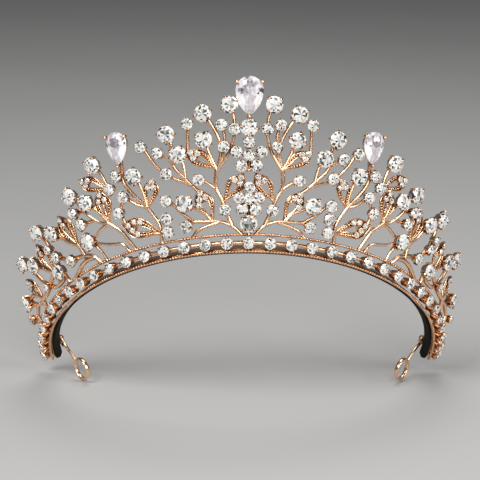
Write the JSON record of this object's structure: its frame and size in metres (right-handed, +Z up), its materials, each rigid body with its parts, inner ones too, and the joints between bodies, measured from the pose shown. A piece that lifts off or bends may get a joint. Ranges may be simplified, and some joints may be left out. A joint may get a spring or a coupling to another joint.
{
  "type": "bridal tiara",
  "caption": "Rose gold bridal tiara: flaring crest of leaf sprays with pear and round crystals on a beaded stone-set band, lined head strip and hinged pin loops at the ends.",
  "frame": {"origin": "on the inner face of the lining at the middle of the front, where the tiara rests on the wearer's head", "axes": "+X to the wearer's left as the picture shows it, to the right of the picture; +Y towards the back of the head; +Z up, with the tiara tilted as worn"},
  "size_m": [0.1726, 0.0666, 0.1274],
  "materials": {
    "rose_gold": "polished rose gold plate",
    "crystal": "faceted and foil-backed",
    "lining": "short dark velvet pile"
  },
  "bodies": {
    "tiara": {"centre_column": "rose_gold", "centre_flower": "rose_gold", "crystal_centre": "crystal", "crystal_column": "crystal", "crystal_end_1_left": "crystal", "crystal_end_1_right": "crystal", "crystal_end_2_left": "crystal", "crystal_end_2_right": "crystal", "crystal_end_3_left": "crystal", "crystal_end_3_right": "crystal", "crystal_end_4_left": "crystal", "crystal_end_4_right": "crystal", "crystal_inner_1_left": "crystal", "crystal_inner_1_right": "crystal", "crystal_inner_2_left": "crystal", "crystal_inner_2_right": "crystal", "crystal_inner_3_left": "crystal", "crystal_inner_3_right": "crystal", "crystal_leaf_1_left": "crystal", "crystal_leaf_1_right": "crystal", "crystal_mid_1_left": "crystal", "crystal_mid_1_right": "crystal", "crystal_mid_2_left": "crystal", "crystal_mid_2_right": "crystal", "crystal_mid_3_left": "crystal", "crystal_mid_3_right": "crystal", "crystal_outer_1_left": "crystal", "crystal_outer_1_right": "crystal", "crystal_outer_2_left": "crystal", "crystal_outer_2_right": "crystal", "crystal_outer_3_left": "crystal", "crystal_outer_3_right": "crystal", "crystal_outer_4_left": "crystal", "crystal_outer_4_right": "crystal", "crystal_side_1_left": "crystal", "crystal_side_1_right": "crystal", "crystal_side_2_left": "crystal", "crystal_side_2_right": "crystal", "head_strip": "rose_gold", "lower_rail": "rose_gold", "pear_crystal_centre": "crystal", "pear_crystal_left": "crystal", "pear_crystal_right": "crystal", "spray_end_left": "rose_gold", "spray_end_right": "rose_gold", "spray_inner_left": "rose_gold", "spray_inner_right": "rose_gold", "spray_leaf_left": "rose_gold", "spray_leaf_right": "rose_gold", "spray_mid_left": "rose_gold", "spray_mid_right": "rose_gold", "spray_outer_left": "rose_gold", "spray_outer_right": "rose_gold", "spray_side_left": "rose_gold", "spray_side_right": "rose_gold", "stone_bar": "rose_gold", "strip_lining": "lining", "upper_rail": "rose_gold"},
    "end_loop_left": {"end_loop_left": "rose_gold"},
    "end_loop_right": {"end_loop_right": "rose_gold"}
  },
  "joints": [
    {"name": "loop_hinge_left", "type": "hinge", "parent": "tiara", "child": "end_loop_left", "pos_m": [-0.07241, 0.0556, -0.05011], "axis": [-0.0191, -0.707, 0.707], "range_deg": [-10, 95]},
    {"name": "loop_hinge_right", "type": "hinge", "parent": "tiara", "child": "end_loop_right", "pos_m": [0.07241, 0.0556, -0.05011], "axis": [-0.0191, 0.707, -0.707], "range_deg": [-10, 95]}
  ]
}
